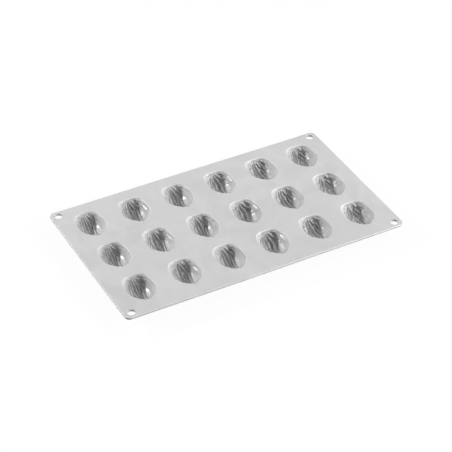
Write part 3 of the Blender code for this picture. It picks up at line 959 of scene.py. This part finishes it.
def add_lamp(name, turn, rise, distance, size, power):
    """A square lamp that shines on the mould, turned from +X towards +Y and risen from the
    floor by angles in degrees."""
    light = bpy.data.lights.new(name, "AREA")
    light.size = size
    light.energy = power
    lamp = bpy.data.objects.new(name, light)
    bpy.context.scene.collection.objects.link(lamp)
    turn, rise = math.radians(turn), math.radians(rise)
    towards = Vector((math.cos(turn) * math.cos(rise), math.sin(turn) * math.cos(rise),
                      math.sin(rise)))
    lamp.location = towards * distance
    lamp.rotation_euler = towards.to_track_quat("Z", "Y").to_euler()


def build_camera():
    """The photograph's camera. It turns about a point on the sheet's top, and a small offset
    and roll put the mould where the picture has it."""
    azimuth, elevation, roll = math.radians(-28.951), math.radians(38.294), math.radians(0.613)
    back = Vector((math.sin(azimuth) * math.cos(elevation),
                   -math.cos(azimuth) * math.cos(elevation), math.sin(elevation)))
    level = Vector((0, 0, 1)).cross(back).normalized()
    upright = back.cross(level)
    right = math.cos(roll) * level + math.sin(roll) * upright
    up = back.cross(right)
    data = bpy.data.cameras.new("camera")
    data.sensor_width = 36.0
    data.lens = 137.77
    data.clip_end = 20.0
    camera = bpy.data.objects.new("camera", data)
    bpy.context.scene.collection.objects.link(camera)
    target = Vector((0, 0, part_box("sheet")[1].z))
    aside, above, away = 0.1964, 6.9168, 1682.157
    place = target + (back * away - right * aside - up * above) * MM
    turn = Matrix((right, up, back)).transposed().to_4x4()
    camera.matrix_world = Matrix.Translation(place) @ turn
    bpy.context.scene.camera = camera


class MOULD_OT_sheet(Operator):
    """Build the sheet with its hanging holes"""
    bl_idname = "mould.sheet"
    bl_label = "Sheet"

    def execute(self, context):
        build_sheet(silicone(), context.scene.mould_sizes)
        return {"FINISHED"}


class MOULD_OT_walnut_cups(Operator):
    """Build the eighteen walnut cups"""
    bl_idname = "mould.walnut_cups"
    bl_label = "Walnut cups"

    def execute(self, context):
        for row in range(ROWS):
            for column in range(COLUMNS):
                build_cup(row, column, silicone(), context.scene.mould_sizes)
        return {"FINISHED"}


class MOULD_OT_foot_pins(Operator):
    """Build the six foot pins"""
    bl_idname = "mould.foot_pins"
    bl_label = "Foot pins"

    def execute(self, context):
        for side in SIDES:
            for number in range(1, ROWS + 1):
                build_foot(side, number, silicone(), context.scene.mould_sizes)
        return {"FINISHED"}


class MOULD_OT_studio(Operator):
    """Build the floor, the lamps, the light from all round and the camera"""
    bl_idname = "mould.studio"
    bl_label = "Studio"

    def execute(self, context):
        studio = context.scene.studio_light
        build_floor(studio)
        build_world(studio)
        for name, turn, rise, distance, size, power in LAMPS:
            add_lamp(name, turn, rise, distance, size, getattr(studio, power))
        build_camera()
        context.scene.view_settings.view_transform = "Standard"
        return {"FINISHED"}


class VIEW3D_PT_mould(Panel):
    """The mould's pieces, sizes and colours"""
    bl_label = "Walnut cake mould"
    bl_space_type = "VIEW_3D"
    bl_region_type = "UI"
    bl_category = "Mould"

    def draw(self, context):
        column = self.layout.column()
        for operator in OPERATORS:
            column.operator(operator.bl_idname)
        for group in (context.scene.mould_sizes, context.scene.silicone_finish,
                      context.scene.studio_light):
            for name in group.__annotations__:
                column.prop(group, name)


OPERATORS = (MOULD_OT_sheet, MOULD_OT_walnut_cups, MOULD_OT_foot_pins, MOULD_OT_studio)
CLASSES = (MouldSizes, SiliconeFinish, StudioLight, *OPERATORS, VIEW3D_PT_mould)


def silicone():
    """The silicone material, made once."""
    return bpy.data.materials.get("grey_silicone") or silicone_material()


def register():
    for cls in CLASSES:
        bpy.utils.register_class(cls)
    bpy.types.Scene.mould_sizes = PointerProperty(type=MouldSizes)
    bpy.types.Scene.silicone_finish = PointerProperty(type=SiliconeFinish)
    bpy.types.Scene.studio_light = PointerProperty(type=StudioLight)


def unregister():
    del bpy.types.Scene.studio_light
    del bpy.types.Scene.silicone_finish
    del bpy.types.Scene.mould_sizes
    for cls in reversed(CLASSES):
        bpy.utils.unregister_class(cls)


def main():
    register()
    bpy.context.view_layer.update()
    bpy.ops.mould.sheet()
    bpy.ops.mould.walnut_cups()
    bpy.ops.mould.foot_pins()
    bpy.ops.mould.studio()


if __name__ == "__main__":
    main()
